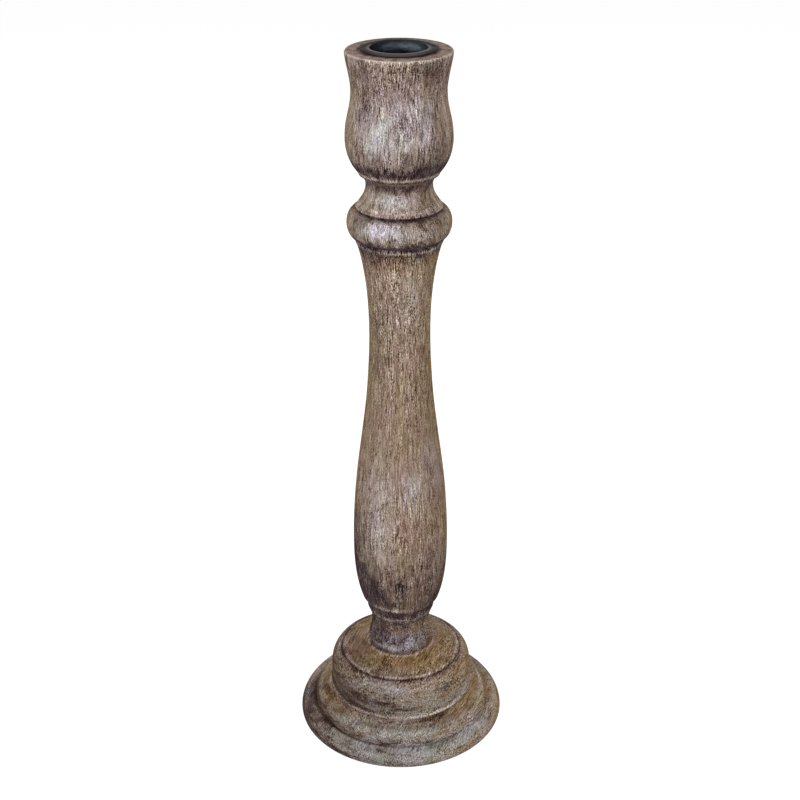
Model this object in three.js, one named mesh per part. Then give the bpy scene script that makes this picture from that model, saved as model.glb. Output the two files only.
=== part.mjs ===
// A turned wooden candle holder for one taper: a two-tier base, a baluster stem, a collar and a cup
// with a drop-in metal liner. It stands on z = 0 and every piece is turned about the Z axis. Millimetres.
import * as THREE from 'three';

// Whole object
const rimLevel = 308.9;          // table to the top of the cup; the stem's long taper takes up what is left

// Fits
const fitGap = 0.3;              // between a tenon, liner or screw and the wall of its hole
const tenonEndGap = 1.2;         // glue space past the end of a tenon

// Facets
const facets = 36;               // sides of a turned piece
const screwFacets = 16;          // sides of the screw and its washer
const curveSteps = 5;            // straight steps along each curved stretch of an outline

// Lower tier of the base: its steps spread out and down from the lip of the upper tier
const lipOverhang = 0.8;         // how far the upper tier's lip stands out over the hollow
const hollowWidth = 3.6;
const hollowHeight = 3.1;
const torusWidth = 4.4;
const torusHeight = 5.5;
const ledgeWidth = 1.2;          // between the torus and the plinth's rounded top
const baseGrooveDepth = 0.8;
const plinthWidth = 5.8;
const plinthHeight = 6.6;
const plinthEdgeRound = 0.8;     // round on the bottom edge

// Upper tier of the base
const lipDiameter = 65.4;
const lipHeight = 1.2;
const lipChamfer = 0.4;          // worn lower edge of the lip
const sideHollow = 0.6;          // how far the side draws in above the lip
const sideHeight = 6.6;
const shoulderWidth = 4.6;
const shoulderHeight = 10.2;
const shoulderFall = 2.2;        // how steeply the shoulder leaves its top edge
const shoulderSwell = 0.5;       // how far the shoulder's curve is pulled out
const discGrooveWidth = 0.6;
const discGrooveDepth = 0.4;
const domeRise = 4.4;
const domeSwell = 0.5;           // how far the domed top stands above a straight cone
const seatMargin = 0.7;          // flat left round the stem's foot
const webThickness = 6.3;        // wood left under the stem's tenon

// Column: the stem, the collar and the cup are turned from stock of one size
const stockDiameter = 42.6;      // widest ring of the column
const bulbCut = 0.9;             // how much slimmer than the stock the stem's bulb ends up
const beadCut = 0.1;             // the same for the collar's bead
const rimCut = 0.8;              // the same for the cup's rim
const waistCut = 5.1;            // the same for the cup's waist

// Stem, from its seat up
const footDiameter = 29.0;
const footUndercut = 0.6;        // how far the foot draws in where it meets the base
const footBulgeHeight = 2.6;     // height of the foot's widest ring
const ankleDiameter = 26.2;
const ankleRise = 9.7;           // widest ring of the foot to the ankle
const bulbRise = 40.0;           // ankle to the widest ring of the bulb
const slenderDiameter = 25.5;
const stemTopDiameter = 36.0;
const flareRise = 39.0;          // slenderest ring to the top edge
const stemTopRound = 0.5;
const footTenonDiameter = 16.0;
const neckTenonDiameter = 12.0;  // tenons of the stem and of the cup, in the collar's bore

// Collar, from the stem up
const beadInset = 0.2;           // how far the bead's root draws in from the stem's flat top
const beadHeight = 12.2;
const quirkHeight = 0.6;         // fine groove over the bead
const quirkWidth = 0.3;
const neckDiameter = 26.8;
const neckFlareHeight = 9.0;     // fine groove to the narrowest ring of the neck
const neckHollowHeight = 4.4;    // narrowest ring of the neck to the cup
const neckHollowRound = 1.8;     // how far below the cup the neck turns out

// Cup, from the collar up
const cupBottomDiameter = 32.2;
const cupOverhang = 0.5;         // how far the cup stands out over the collar
const arrisHeight = 0.9;         // worn land at the bottom of the cup
const arrisSpread = 0.35;
const bellyRise = 13.4;
const waistRise = 19.0;
const rimRise = 14.0;
const rimRound = 1.0;

// Metal liner, hung in the cup by its flange
const linerMouthDiameter = 22.7; // takes a 22 mm taper
const linerWall = 0.6;
const linerFloor = 0.8;
const linerDepth = 25.5;         // underside of the flange to the floor inside
const flangeWidth = 3.1;
const flangeEdge = 0.35;         // thickness of the flange at its outer edge
const flangeCrown = 0.6;         // how much higher the flange's domed top stands
const mouthRound = 0.5;          // rolled edge of the mouth

// Screw and washer, up the middle of the base
const screwDiameter = 4.2;
const screwLength = 55.0;        // under the head
const screwPoint = 6.0;
const screwHeadRim = 2.1;        // how far the head stands out from the shank
const screwHeadHeight = 2.8;
const screwHeadRecess = 2.0;     // head to the underside of the base
const washerDiameter = 16.0;
const washerThickness = 1.2;
const counterboreMargin = 1.0;   // round the washer

// Curved stretches of the outlines. leave and arrive are the handles' shares of the stretch's height,
// and a lean is the slope there, in radius over height, where the outline isn't upright.
const lipCurve = { leave: 0.1, arrive: 0.6 };
const footCurve = { leave: 0.1, arrive: 0.6 };
const ankleCurve = { leave: 0.35, arrive: 0.5 };
const bulbCurve = { leave: 0.21, arrive: 0.72 };
const taperCurve = { leave: 0.43, arrive: 0.43 };
const stemFlareCurve = { leave: 0.5, arrive: 0.1, arriveLean: 0.53 };
const neckFlareCurve = { leave: 0.17, arrive: 0.5, leaveLean: -0.5 };
const bellyCurve = { leave: 0.11, arrive: 0.59, leaveLean: 0.77 };
const waistCurve = { leave: 0.45, arrive: 0.43 };
const rimCurve = { leave: 0.3, arrive: 0.15 };

// Radii that follow
const lipRadius = lipDiameter / 2;
const hollowTopRadius = lipRadius - lipOverhang;
const torusTopRadius = hollowTopRadius + hollowWidth;
const torusRadius = torusTopRadius + torusWidth;
const plinthTopRadius = torusRadius + ledgeWidth;
const plinthRadius = plinthTopRadius + plinthWidth;
const bellyRadius = stockDiameter / 2;
const bulbRadius = bellyRadius - bulbCut / 2;
const beadRadius = bellyRadius - beadCut / 2;
const rimRadius = bellyRadius - rimCut / 2;
const waistRadius = bellyRadius - waistCut / 2;
const footRadius = footDiameter / 2;
const footTenonRadius = footTenonDiameter / 2;
const neckTenonRadius = neckTenonDiameter / 2;
const stemFlatRadius = stemTopDiameter / 2 - stemTopRound;
const cupBottomRadius = cupBottomDiameter / 2;
const mouthRadius = linerMouthDiameter / 2;
const linerOuterRadius = mouthRadius + linerWall;
const shankRadius = screwDiameter / 2;
const screwHoleRadius = shankRadius + fitGap;
const washerRadius = washerDiameter / 2;

// Heights that follow, each from its own piece's seat
const lowerTierHeight = plinthHeight + torusHeight + hollowHeight;
const shoulderTop = lipHeight + sideHeight + shoulderHeight;
const upperTierHeight = shoulderTop + domeRise;
const ankle = footBulgeHeight + ankleRise;
const bulb = ankle + bulbRise;
const neckRing = beadHeight + quirkHeight + neckFlareHeight;
const collarLength = neckRing + neckHollowHeight;
const belly = arrisHeight + bellyRise;
const cupWaist = belly + waistRise;
const rimEdge = cupWaist + rimRise;
const cupHeight = rimEdge + rimRound;
const stemSeat = lowerTierHeight + upperTierHeight; // from the table
const stemLength = rimLevel - stemSeat - collarLength - cupHeight;
const stemTopEdge = stemLength - stemTopRound;
const slenderRing = stemTopEdge - flareRise;
const linerLength = linerDepth + linerFloor;
const neckTenonLength = (collarLength - tenonEndGap) / 2;
const footTenonLength = upperTierHeight - webThickness - tenonEndGap;

// Levels above the table
const counterboreDepth = screwHeadRecess + screwHeadHeight + washerThickness;
const screwSeat = counterboreDepth - washerThickness;
const screwTip = screwSeat + screwLength;

// Adds a cubic stretch to an outline, up to a radius and height.
function sweepTo(outline, radius, height, { leave, arrive, leaveLean = 0, arriveLean = 0 }) {
  const start = outline.currentPoint.clone();
  const leaveRise = leave * (height - start.y);
  const arriveRise = arrive * (height - start.y);
  outline.bezierCurveTo(
    start.x + leaveLean * leaveRise, start.y + leaveRise,
    radius - arriveLean * arriveRise, height - arriveRise,
    radius, height,
  );
}

// Adds a quarter of an ellipse to an outline, from its side up to its crown.
function crownTo(outline, radius, height) {
  const side = outline.currentPoint.clone();
  outline.absellipse(radius, side.y, side.x - radius, height - side.y, 0, Math.PI / 2, false, 0);
}

// Turns an outline of radius and height about the Z axis, as one named piece on its seat.
function turn(name, seat, outline, sides, material) {
  const geometry = new THREE.LatheGeometry(outline.getPoints(curveSteps), sides);
  geometry.rotateX(Math.PI / 2);
  const piece = new THREE.Mesh(geometry, material);
  piece.name = name;
  piece.position.z = seat;
  return piece;
}

function wood(colour) {
  return new THREE.MeshStandardMaterial({ color: colour, roughness: 0.55, metalness: 0 });
}

function metal(colour, roughness) {
  return new THREE.MeshStandardMaterial({ color: colour, roughness, metalness: 0.9 });
}

// Wide plinth, groove, torus and hollow, with the screw's counterbore underneath
function baseLower() {
  const counterboreRadius = washerRadius + counterboreMargin;
  const outline = new THREE.Path();
  outline.moveTo(screwHoleRadius, counterboreDepth);
  outline.lineTo(counterboreRadius, counterboreDepth);
  outline.lineTo(counterboreRadius, 0);
  outline.lineTo(plinthRadius - plinthEdgeRound, 0);
  outline.quadraticCurveTo(plinthRadius, 0, plinthRadius, plinthEdgeRound);
  crownTo(outline, plinthTopRadius, plinthHeight);
  outline.lineTo(torusRadius, plinthHeight - baseGrooveDepth);
  outline.lineTo(torusRadius, plinthHeight);
  crownTo(outline, torusTopRadius, plinthHeight + torusHeight);
  outline.quadraticCurveTo(
    hollowTopRadius, plinthHeight + torusHeight,
    hollowTopRadius, lowerTierHeight,
  );
  outline.lineTo(screwHoleRadius, lowerTierHeight);
  outline.closePath();
  return turn('base_lower', 0, outline, facets, wood('#8a7a6b'));
}

// Lipped side, rounded shoulder and domed top, with the mortise for the stem
function baseUpper() {
  const sideRadius = lipRadius - sideHollow;
  const shoulderTopRadius = sideRadius - shoulderWidth;
  const discRadius = shoulderTopRadius - discGrooveWidth;
  const seatRadius = footRadius + seatMargin;
  const mortiseRadius = footTenonRadius + fitGap;
  const outline = new THREE.Path();
  outline.moveTo(screwHoleRadius, 0);
  outline.lineTo(lipRadius - lipChamfer, 0);
  outline.lineTo(lipRadius, lipChamfer);
  outline.lineTo(lipRadius, lipHeight);
  sweepTo(outline, sideRadius, lipHeight + sideHeight, lipCurve);
  outline.quadraticCurveTo(
    sideRadius + shoulderSwell, shoulderTop - shoulderFall,
    shoulderTopRadius, shoulderTop,
  );
  outline.lineTo(shoulderTopRadius - discGrooveWidth / 2, shoulderTop - discGrooveDepth);
  outline.lineTo(discRadius, shoulderTop);
  outline.quadraticCurveTo(
    (discRadius + seatRadius) / 2, shoulderTop + domeRise / 2 + domeSwell,
    seatRadius, upperTierHeight,
  );
  outline.lineTo(mortiseRadius, upperTierHeight);
  outline.lineTo(mortiseRadius, webThickness);
  outline.lineTo(screwHoleRadius, webThickness);
  outline.closePath();
  return turn('base_upper', lowerTierHeight, outline, facets, wood('#9a8468'));
}

// Rounded foot, bulb, long taper and flared top, with a tenon at each end and the screw's pilot hole
function stem() {
  const pilotEnd = screwTip - stemSeat;
  const outline = new THREE.Path();
  outline.moveTo(0, pilotEnd + fitGap);
  outline.lineTo(screwHoleRadius, pilotEnd - screwPoint);
  outline.lineTo(screwHoleRadius, -footTenonLength);
  outline.lineTo(footTenonRadius, -footTenonLength);
  outline.lineTo(footTenonRadius, 0);
  outline.lineTo(footRadius - footUndercut, 0);
  sweepTo(outline, footRadius, footBulgeHeight, footCurve);
  sweepTo(outline, ankleDiameter / 2, ankle, ankleCurve);
  sweepTo(outline, bulbRadius, bulb, bulbCurve);
  sweepTo(outline, slenderDiameter / 2, slenderRing, taperCurve);
  sweepTo(outline, stemTopDiameter / 2, stemTopEdge, stemFlareCurve);
  outline.lineTo(stemFlatRadius, stemLength);
  outline.lineTo(neckTenonRadius, stemLength);
  outline.lineTo(neckTenonRadius, stemLength + neckTenonLength);
  outline.lineTo(0, stemLength + neckTenonLength);
  return turn('stem', 0, outline, facets, wood('#8c7764'));
}

// Bead and coved neck, bored right through for the two tenons
function collar() {
  const boreRadius = neckTenonRadius + fitGap;
  const beadRootRadius = stemFlatRadius - beadInset;
  const neckRadius = neckDiameter / 2;
  const outline = new THREE.Path();
  outline.moveTo(boreRadius, 0);
  outline.lineTo(beadRootRadius, 0);
  outline.absellipse(
    beadRootRadius, beadHeight / 2,
    beadRadius - beadRootRadius, beadHeight / 2,
    -Math.PI / 2, Math.PI / 2, false, 0,
  );
  outline.lineTo(beadRootRadius + quirkWidth, beadHeight + quirkHeight);
  sweepTo(outline, neckRadius, neckRing, neckFlareCurve);
  outline.quadraticCurveTo(
    neckRadius, collarLength - neckHollowRound,
    cupBottomRadius - cupOverhang, collarLength,
  );
  outline.lineTo(boreRadius, collarLength);
  outline.closePath();
  return turn('collar', stemLength, outline, facets, wood('#87715f'));
}

// Bellied cup with a waist and a rolled rim, bored for the liner and tenoned below
function socketCup() {
  const boreRadius = linerOuterRadius + fitGap;
  const boreFloor = cupHeight - linerLength - fitGap;
  const outline = new THREE.Path();
  outline.moveTo(0, -neckTenonLength);
  outline.lineTo(neckTenonRadius, -neckTenonLength);
  outline.lineTo(neckTenonRadius, 0);
  outline.lineTo(cupBottomRadius, 0);
  outline.lineTo(cupBottomRadius + arrisSpread, arrisHeight);
  sweepTo(outline, bellyRadius, belly, bellyCurve);
  sweepTo(outline, waistRadius, cupWaist, waistCurve);
  sweepTo(outline, rimRadius, rimEdge, rimCurve);
  outline.quadraticCurveTo(rimRadius, cupHeight, rimRadius - rimRound, cupHeight);
  outline.lineTo(boreRadius, cupHeight);
  outline.lineTo(boreRadius, boreFloor);
  outline.lineTo(0, boreFloor);
  return turn('socket_cup', stemLength + collarLength, outline, facets, wood('#93806c'));
}

// Drawn metal cup with a domed flange that lies on the wood
function candleLiner() {
  const flangeRadius = linerOuterRadius + flangeWidth;
  const flangeTop = flangeEdge + flangeCrown;
  const outline = new THREE.Path();
  outline.moveTo(0, -linerLength);
  outline.lineTo(linerOuterRadius, -linerLength);
  outline.lineTo(linerOuterRadius, 0);
  outline.lineTo(flangeRadius, 0);
  outline.lineTo(flangeRadius, flangeEdge);
  outline.quadraticCurveTo(
    (flangeRadius + mouthRadius) / 2 + mouthRound, flangeTop,
    mouthRadius + mouthRound, flangeTop,
  );
  outline.quadraticCurveTo(mouthRadius, flangeTop, mouthRadius, flangeTop - mouthRound);
  outline.lineTo(mouthRadius, -linerDepth);
  outline.lineTo(0, -linerDepth);
  const seat = stemLength + collarLength + cupHeight;
  return turn('candle_liner', seat, outline, facets, metal('#3b3a40', 0.5));
}

// Pan-headed wood screw, point up, measured from under its head
function stemScrew() {
  const headRadius = shankRadius + screwHeadRim;
  const outline = new THREE.Path();
  outline.moveTo(0, -screwHeadHeight);
  outline.lineTo(shankRadius, -screwHeadHeight);
  outline.quadraticCurveTo(headRadius, -screwHeadHeight, headRadius, 0);
  outline.lineTo(shankRadius, 0);
  outline.lineTo(shankRadius, screwLength - screwPoint);
  outline.lineTo(0, screwLength);
  return turn('stem_screw', screwSeat, outline, screwFacets, metal('#a8a9ab', 0.35));
}

// Flat washer between the screw's head and the counterbore's roof
function screwWasher() {
  const outline = new THREE.Path();
  outline.moveTo(screwHoleRadius, 0);
  outline.lineTo(washerRadius, 0);
  outline.lineTo(washerRadius, washerThickness);
  outline.lineTo(screwHoleRadius, washerThickness);
  outline.closePath();
  return turn('screw_washer', screwSeat, outline, screwFacets, metal('#b4b5b6', 0.4));
}

const base = new THREE.Group();
base.add(baseLower(), baseUpper(), stemScrew(), screwWasher());

const column = new THREE.Group();
column.position.z = stemSeat;
column.add(stem(), collar(), socketCup(), candleLiner());

const candleHolder = new THREE.Group();
candleHolder.add(base, column);

export default candleHolder;
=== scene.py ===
"""A turned wooden candle holder for one taper: limewashed, antiqued wood with a dark metal liner.

Outlines are half sections of (radius, level) in millimetres, and the pieces turned from them are in metres,
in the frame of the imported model. A turn is in degrees round the axis: 0 at the front, 90 at the right.
"""

import math

import bmesh
import bpy
import numpy
from mathutils import Matrix, Vector, noise
from mathutils.geometry import interpolate_bezier


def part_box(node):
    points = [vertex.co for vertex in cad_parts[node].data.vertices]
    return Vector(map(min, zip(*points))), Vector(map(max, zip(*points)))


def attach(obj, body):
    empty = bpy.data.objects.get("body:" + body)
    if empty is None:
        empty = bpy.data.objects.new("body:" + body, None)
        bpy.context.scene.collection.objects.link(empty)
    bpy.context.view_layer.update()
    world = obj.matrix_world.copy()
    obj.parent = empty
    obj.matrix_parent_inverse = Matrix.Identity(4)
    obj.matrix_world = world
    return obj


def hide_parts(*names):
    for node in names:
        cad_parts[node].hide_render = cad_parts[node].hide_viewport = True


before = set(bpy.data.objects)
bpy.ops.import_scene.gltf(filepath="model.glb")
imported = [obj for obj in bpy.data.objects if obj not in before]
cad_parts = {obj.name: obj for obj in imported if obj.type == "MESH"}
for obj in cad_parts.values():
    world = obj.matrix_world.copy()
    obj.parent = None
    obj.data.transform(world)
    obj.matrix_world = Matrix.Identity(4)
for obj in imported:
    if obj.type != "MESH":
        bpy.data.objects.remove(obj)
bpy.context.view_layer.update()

MM = 0.001


def bottom_of(node):
    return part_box(node)[0].z / MM


def top_of(node):
    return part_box(node)[1].z / MM


def radius_of(node):
    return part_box(node)[1].x / MM


# Levels and radii taken from the frame
TIER_JOINT = top_of("base_lower")
STEM_SEAT = top_of("base_upper")
COLLAR_SEAT = bottom_of("collar")
CUP_SEAT = top_of("collar")
RIM_LEVEL = top_of("socket_cup")
LINER_BOTTOM = bottom_of("candle_liner")
LINER_TOP = top_of("candle_liner")
FOOT_TENON_END = bottom_of("stem")
NECK_TENON_TOP = top_of("stem")
CUP_TENON_END = bottom_of("socket_cup")
SCREW_HEAD_LEVEL = bottom_of("stem_screw")
SCREW_TIP = top_of("stem_screw")
WASHER_BOTTOM = bottom_of("screw_washer")
WASHER_TOP = top_of("screw_washer")
PLINTH_RADIUS = radius_of("base_lower")
LIP_RADIUS = radius_of("base_upper")
BULB_RADIUS = radius_of("stem")
BEAD_RADIUS = radius_of("collar")
BELLY_RADIUS = radius_of("socket_cup")
FLANGE_RADIUS = radius_of("candle_liner")
HEAD_RADIUS = radius_of("stem_screw")
WASHER_RADIUS = radius_of("screw_washer")

# Fits and hidden work
FIT_GAP = 0.3
FOOT_TENON_RADIUS = 8.0
NECK_TENON_RADIUS = 6.0
MORTISE_FLOOR = FOOT_TENON_END - 1.2
SHANK_RADIUS = 2.1
SCREW_HOLE_RADIUS = SHANK_RADIUS + FIT_GAP
SCREW_POINT = 6.0
RECESS_WIDTH = 0.8
RECESS_REACH = 1.7
RECESS_DEPTH = 1.2
COUNTERBORE_RADIUS = WASHER_RADIUS + 1.0

# Lower tier of the base
PLINTH_EDGE_ROUND = 0.8
PLINTH_WIDTH = 5.8
PLINTH_HEIGHT = 6.6
LEDGE_WIDTH = 1.2
BASE_GROOVE_DEPTH = 0.5
TORUS_WIDTH = 4.4
TORUS_HEIGHT = 5.5
HOLLOW_WIDTH = 3.6

# Upper tier of the base
LIP_HEIGHT = 1.2
LIP_CHAMFER = 0.4
SIDE_HOLLOW = 0.6
SIDE_HEIGHT = 6.6
SHOULDER_WIDTH = 4.6
SHOULDER_HEIGHT = 10.2
SHOULDER_FALL = 2.2
SHOULDER_SWELL = 0.5
DISC_GROOVE_WIDTH = 0.6
DISC_GROOVE_DEPTH = 0.4
DOME_SWELL = 0.5

# Stem
FOOT_RADIUS = 14.5
FOOT_UNDERCUT = 0.6
FOOT_BULGE = STEM_SEAT + 2.6
SEAT_MARGIN = 0.7
ANKLE_RADIUS = 13.1
ANKLE = FOOT_BULGE + 9.7
BULB = ANKLE + 40.0
SLENDER_RADIUS = 12.75
STEM_TOP_RADIUS = 18.0
STEM_TOP_SLOPE = 1.0  # the dark face that slopes in under the bead
STEM_TOP_EDGE = COLLAR_SEAT - 1.3
SLENDER_RING = COLLAR_SEAT - 39.5
ANKLE_COVE = ANKLE + 10.4  # the fine turned line above the ankle
ANKLE_COVE_HALF = 2.9
ANKLE_COVE_DEPTH = 0.55

# Collar
BEAD_ROOT_RADIUS = 17.3
BEAD_TOP = COLLAR_SEAT + 12.2
QUIRK_HEIGHT = 0.6
QUIRK_WIDTH = 0.3
QUIRK_DEPTH = 0.5
NECK_RADIUS = 13.4
NECK_RING = BEAD_TOP + QUIRK_HEIGHT + 9.0
NECK_HOLLOW_ROUND = 1.8

# Cup
CUP_BOTTOM_RADIUS = 16.1
CUP_OVERHANG = 0.5
ARRIS_HEIGHT = 0.9
ARRIS_SPREAD = 0.35
BELLY = CUP_SEAT + ARRIS_HEIGHT + 13.4
WAIST_RADIUS = 18.75
WAIST = BELLY + 19.0
RIM_RADIUS = 20.9
RIM_ROUND = 1.0

# Metal liner
MOUTH_RADIUS = 11.35
MOUTH_ROUND = 0.5
LINER_WALL = 0.6
LINER_FLOOR = 0.8
FLANGE_EDGE = 0.35

# Fineness of the turned meshes
SIDES = 160
BASE_SIDES = 224
FITTING_SIDES = 48
STEP = 0.9  # between points along an outline
FINE_STEP = 0.4
ARRIS_ANGLE = math.radians(28)  # edges sharper than this are rounded over
QUARTER_ROUND = 0.5523  # handle of a cubic that follows a quarter of an ellipse
SAME_PLACE = 0.01  # points and levels nearer than this are taken as one

# Rounding of the arrises
PLINTH_ARRIS = 0.25
WOOD_ARRIS = 0.2
COLLAR_ARRIS = 0.15
LINER_ARRIS = 0.12
WASHER_ARRIS = 0.2
SCREW_ARRIS = 0.15
ARRIS_SEGMENTS = 3


# Outlines


def outline_from(radius, level):
    return [Vector((radius, 0, level))]


def stretch_to(outline, first_handle, second_handle, end, step=STEP):
    """Adds a cubic stretch, with a point about every step."""
    start = outline[-1]
    points = max(5, math.ceil((end - start).length / step) + 1)
    outline += interpolate_bezier(start, first_handle, second_handle, end, points)[1:]


def line_to(outline, radius, level):
    """Adds a straight stretch of the inside or of a joint, which needs no points on the way."""
    outline.append(Vector((radius, 0, level)))


def face_to(outline, radius, level):
    """Adds a straight stretch that shows, with points on the way to carry its marks."""
    start, end = outline[-1], Vector((radius, 0, level))
    pieces = max(1, math.ceil((end - start).length / STEP))
    outline += [start.lerp(end, share / pieces) for share in range(1, pieces + 1)]


def sweep_to(outline, radius, level, leave, arrive, leave_lean=0.0, arrive_lean=0.0, step=STEP):
    """Adds a flowing stretch. Handles are shares of its height, and a lean is radius over height there."""
    start, end = outline[-1], Vector((radius, 0, level))
    rise = end.z - start.z
    first = start + Vector((leave_lean, 0, 1)) * leave * rise
    second = end - Vector((arrive_lean, 0, 1)) * arrive * rise
    stretch_to(outline, first, second, end, step)


def bow_to(outline, bend_radius, bend_level, radius, level):
    """Adds a stretch that is pulled towards one bend."""
    start, end = outline[-1], Vector((radius, 0, level))
    bend = Vector((bend_radius, 0, bend_level))
    stretch_to(outline, start.lerp(bend, 2 / 3), end.lerp(bend, 2 / 3), end)


def crown_to(outline, radius, level):
    """Adds a quarter of an ellipse, from its upright side to its flat crown."""
    start, end = outline[-1], Vector((radius, 0, level))
    corner = Vector((start.x, 0, end.z))
    stretch_to(outline, start.lerp(corner, QUARTER_ROUND), end.lerp(corner, QUARTER_ROUND), end)


def swell_to(outline, radius, level):
    """Adds a quarter of an ellipse, from its flat root out to its upright side."""
    start, end = outline[-1], Vector((radius, 0, level))
    corner = Vector((end.x, 0, start.z))
    stretch_to(outline, start.lerp(corner, QUARTER_ROUND), end.lerp(corner, QUARTER_ROUND), end)


def cut_cove(outline, level, half_height, depth, beyond):
    """Turns a shallow cove with two crisp edges into an outline about a level, beyond a radius."""
    for point in outline:
        off = abs(point.z - level) / half_height
        if off < 1 and point.x > beyond:
            point.x -= depth * (1 - off**2)


# Marks of the finish and of painted light and shade: each gives strengths at an array of places in
# millimetres


def ring(radius, level, reach, strength=1.0, strongest=0.0, fading=0.0):
    """A mark right round a piece, along one line of its outline. It may fade away from one turn.

    With no radius it lies at that level on whatever the outline is there.
    """
    angle = math.radians(strongest)

    def at(places):
        x, y, z = places.T
        here = numpy.maximum(numpy.hypot(x, y), SAME_PLACE)
        side = (x * math.sin(angle) - y * math.cos(angle)) / here
        off = numpy.hypot(0 if radius is None else here - radius, z - level) / reach
        return strength * (1 - fading * (1 - side) / 2) * numpy.exp(-off**2)

    return at


def cloud(turn, radius, level, across, along, strength=1.0, repeated=True):
    """A soft-edged patch at one turn of a piece, repeated half a turn round.

    Across is how far it reaches round the piece, and along is how far it reaches up and down.
    """
    angle = math.radians(turn)
    middle_x, middle_y = radius * math.sin(angle), -radius * math.cos(angle)

    def at(places):
        x, y, z = places.T
        rise = numpy.exp(-(((z - level) / along) ** 2))
        front = numpy.exp(-((x - middle_x) ** 2 + (y - middle_y) ** 2) / across**2)
        back = numpy.exp(-((x + middle_x) ** 2 + (y + middle_y) ** 2) / across**2) * repeated
        return strength * rise * numpy.maximum(front, back)

    return at


def strength_at(marks, places):
    return numpy.minimum(1.0, sum((mark(places) for mark in marks), numpy.zeros(len(places))))


# Turned pieces

UNEVEN = 0.07  # how far hand sanding leaves the turned surface from true
UNEVEN_SPAN = 14.0
CHIP_DEPTH = 0.16  # how deep a worn arris is chipped
CHIP_SPAN = 1.7
SKIN_FACING = 0.3  # the outer skin looks away from the axis at least this much
FLAT_FROM = 0.65  # how much a face looks up or down where it begins to count as flat
FLAT_FULL = 0.9


def turned(name, outline, sides, round_over, finish, closed=False, cut=None):
    """Spins an outline about the Z axis, rounds its sharp rings, cuts and wears it, and stores its marks."""
    shape = bmesh.new()
    corners = [shape.verts.new(point * MM) for point in outline]
    edges = [shape.edges.new(pair) for pair in zip(corners, corners[1:])]
    if closed:
        edges.append(shape.edges.new((corners[-1], corners[0])))
    bmesh.ops.spin(
        shape, geom=corners + edges, cent=(0, 0, 0), axis=(0, 0, 1),
        angle=math.tau, steps=sides, use_merge=True,
    )
    bmesh.ops.remove_doubles(shape, verts=shape.verts, dist=SAME_PLACE * MM)
    bmesh.ops.recalc_face_normals(shape, faces=shape.faces)
    arrises = [edge for edge in shape.edges if edge.calc_face_angle(0) > ARRIS_ANGLE]
    bmesh.ops.bevel(
        shape, geom=arrises, offset=round_over * MM, affect="EDGES",
        segments=ARRIS_SEGMENTS, profile=0.5, material=-1, clamp_overlap=True,
    )
    shape.normal_update()
    if cut:
        cut(shape)
    wear_by_hand(shape, finish.get("worn", ()))
    return finished_piece(name, shape, finish)


def wear_by_hand(shape, worn_marks):
    """Moves the outer skin in or out a little, and chips it under the marks of wear and painted highlight."""
    worn = strength_at(worn_marks, numpy.array([vert.co for vert in shape.verts]) / MM)
    for vert, chipped in zip(shape.verts, worn):
        place = vert.co / MM
        outward = Vector((place.x, place.y, 0)).normalized()
        facing = vert.normal.dot(outward)
        if facing > SKIN_FACING:
            move = UNEVEN * noise.noise(place / UNEVEN_SPAN)
            move -= CHIP_DEPTH * chipped * max(0, noise.noise(place / CHIP_SPAN))
            vert.co += outward * move * facing * MM


def store(mesh, name, values):
    """Stores one value for each point of a mesh."""
    mesh.attributes.new(name, "FLOAT", "POINT").data.foreach_set("value", values)


def finished_piece(name, shape, finish):
    """Makes a smooth-shaded object of a bmesh. It stores each kind of mark, and where its faces are flat."""
    mesh = bpy.data.meshes.new(name)
    shape.to_mesh(mesh)
    shape.free()
    mesh.shade_smooth()
    places = numpy.array([vert.co for vert in mesh.vertices]) / MM
    for kind, marks in finish.items():
        store(mesh, kind, strength_at(marks, places))
    upright = numpy.array([abs(vert.normal.z) for vert in mesh.vertices])
    store(mesh, "flat", numpy.clip((upright - FLAT_FROM) / (FLAT_FULL - FLAT_FROM), 0, 1))
    piece = bpy.data.objects.new(name, mesh)
    bpy.context.scene.collection.objects.link(piece)
    return piece


def fit(piece, node, body, material):
    """Puts a piece in place of its CAD node."""
    piece.data.materials.append(material)
    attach(piece, body)
    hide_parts(node)


# Shader nodes


def put(tree, kind, values=None, **options):
    """Adds a node. Each named or numbered input is linked if it is given a socket, and set otherwise."""
    made = tree.nodes.new(kind)
    for option, choice in options.items():
        setattr(made, option, choice)
    for key, value in (values or {}).items():
        if isinstance(value, bpy.types.NodeSocket):
            tree.links.new(value, made.inputs[key])
        else:
            made.inputs[key].default_value = value
    return made


def mix_colours(tree, share, first, second):
    made = put(tree, "ShaderNodeMix", {0: share, 6: first, 7: second}, data_type="RGBA")
    return made.outputs[2]


def maths(tree, operation, first, second=0.0, third=0.0, clamp=False):
    values = {0: first, 1: second, 2: third}
    return put(tree, "ShaderNodeMath", values, operation=operation, use_clamp=clamp).outputs[0]


def step_up(tree, value, low, high, to_low=0.0, to_high=1.0):
    """Eases from to_low to to_high as a value goes from low to high."""
    values = {"Value": value, "From Min": low, "From Max": high, "To Min": to_low, "To Max": to_high}
    return put(tree, "ShaderNodeMapRange", values, interpolation_type="SMOOTHSTEP").outputs[0]


def speckle(tree, vector, pitch, detail=2.0, roughness=0.55, offset=0.0):
    """Noise whose lumps are about as big, in millimetres, as the three sizes of pitch."""
    per_mm = [1 / size for size in pitch]
    values = {0: vector, 1: per_mm, 2: (offset, offset, offset)}
    stretched = put(tree, "ShaderNodeVectorMath", values, operation="MULTIPLY_ADD").outputs[0]
    values = {"Vector": stretched, "Scale": 1.0, "Detail": detail, "Roughness": roughness}
    return put(tree, "ShaderNodeTexNoise", values)


def stored(tree, name):
    """What is stored on the piece under a name, such as the strength of one kind of mark."""
    return put(tree, "ShaderNodeAttribute", attribute_name=name).outputs["Fac"]


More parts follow.
